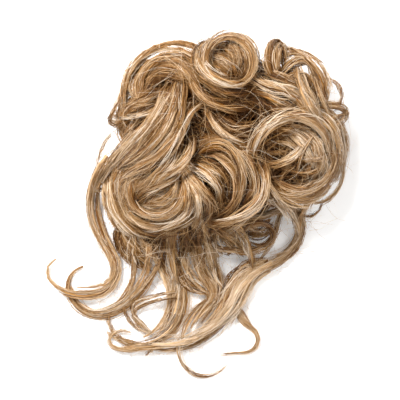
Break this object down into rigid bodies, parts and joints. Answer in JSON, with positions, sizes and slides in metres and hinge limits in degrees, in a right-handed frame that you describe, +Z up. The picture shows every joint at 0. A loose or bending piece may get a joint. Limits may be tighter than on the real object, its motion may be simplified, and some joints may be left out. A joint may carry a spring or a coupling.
{
  "type": "top knot hairpiece",
  "caption": "Curled top knot hairpiece: a round knot of loose honey-blonde curls on an elastic band, with long wavy tendrils lying on the table.",
  "frame": {"origin": "middle of the underside of the whole hairpiece's box, on the table", "axes": "+Z up from the table through the crown of the knot, +Y away from the tendrils, +X to the right seen from above"},
  "size_m": [0.183, 0.2104, 0.0746],
  "materials": {
    "hair": "satin curled hair fibre",
    "hair_tips": "satin curled hair fibre, lighter at the ends",
    "elastic": "woven elastic"
  },
  "bodies": {
    "root": {"elastic_band": "elastic", "curled_knot": "hair", "tendril_left": "hair_tips", "tendril_lower_left": "hair_tips", "tendril_middle": "hair_tips", "tendril_bottom": "hair_tips", "tendril_right": "hair_tips", "tendril_lower_right": "hair_tips"}
  },
  "joints": []
}
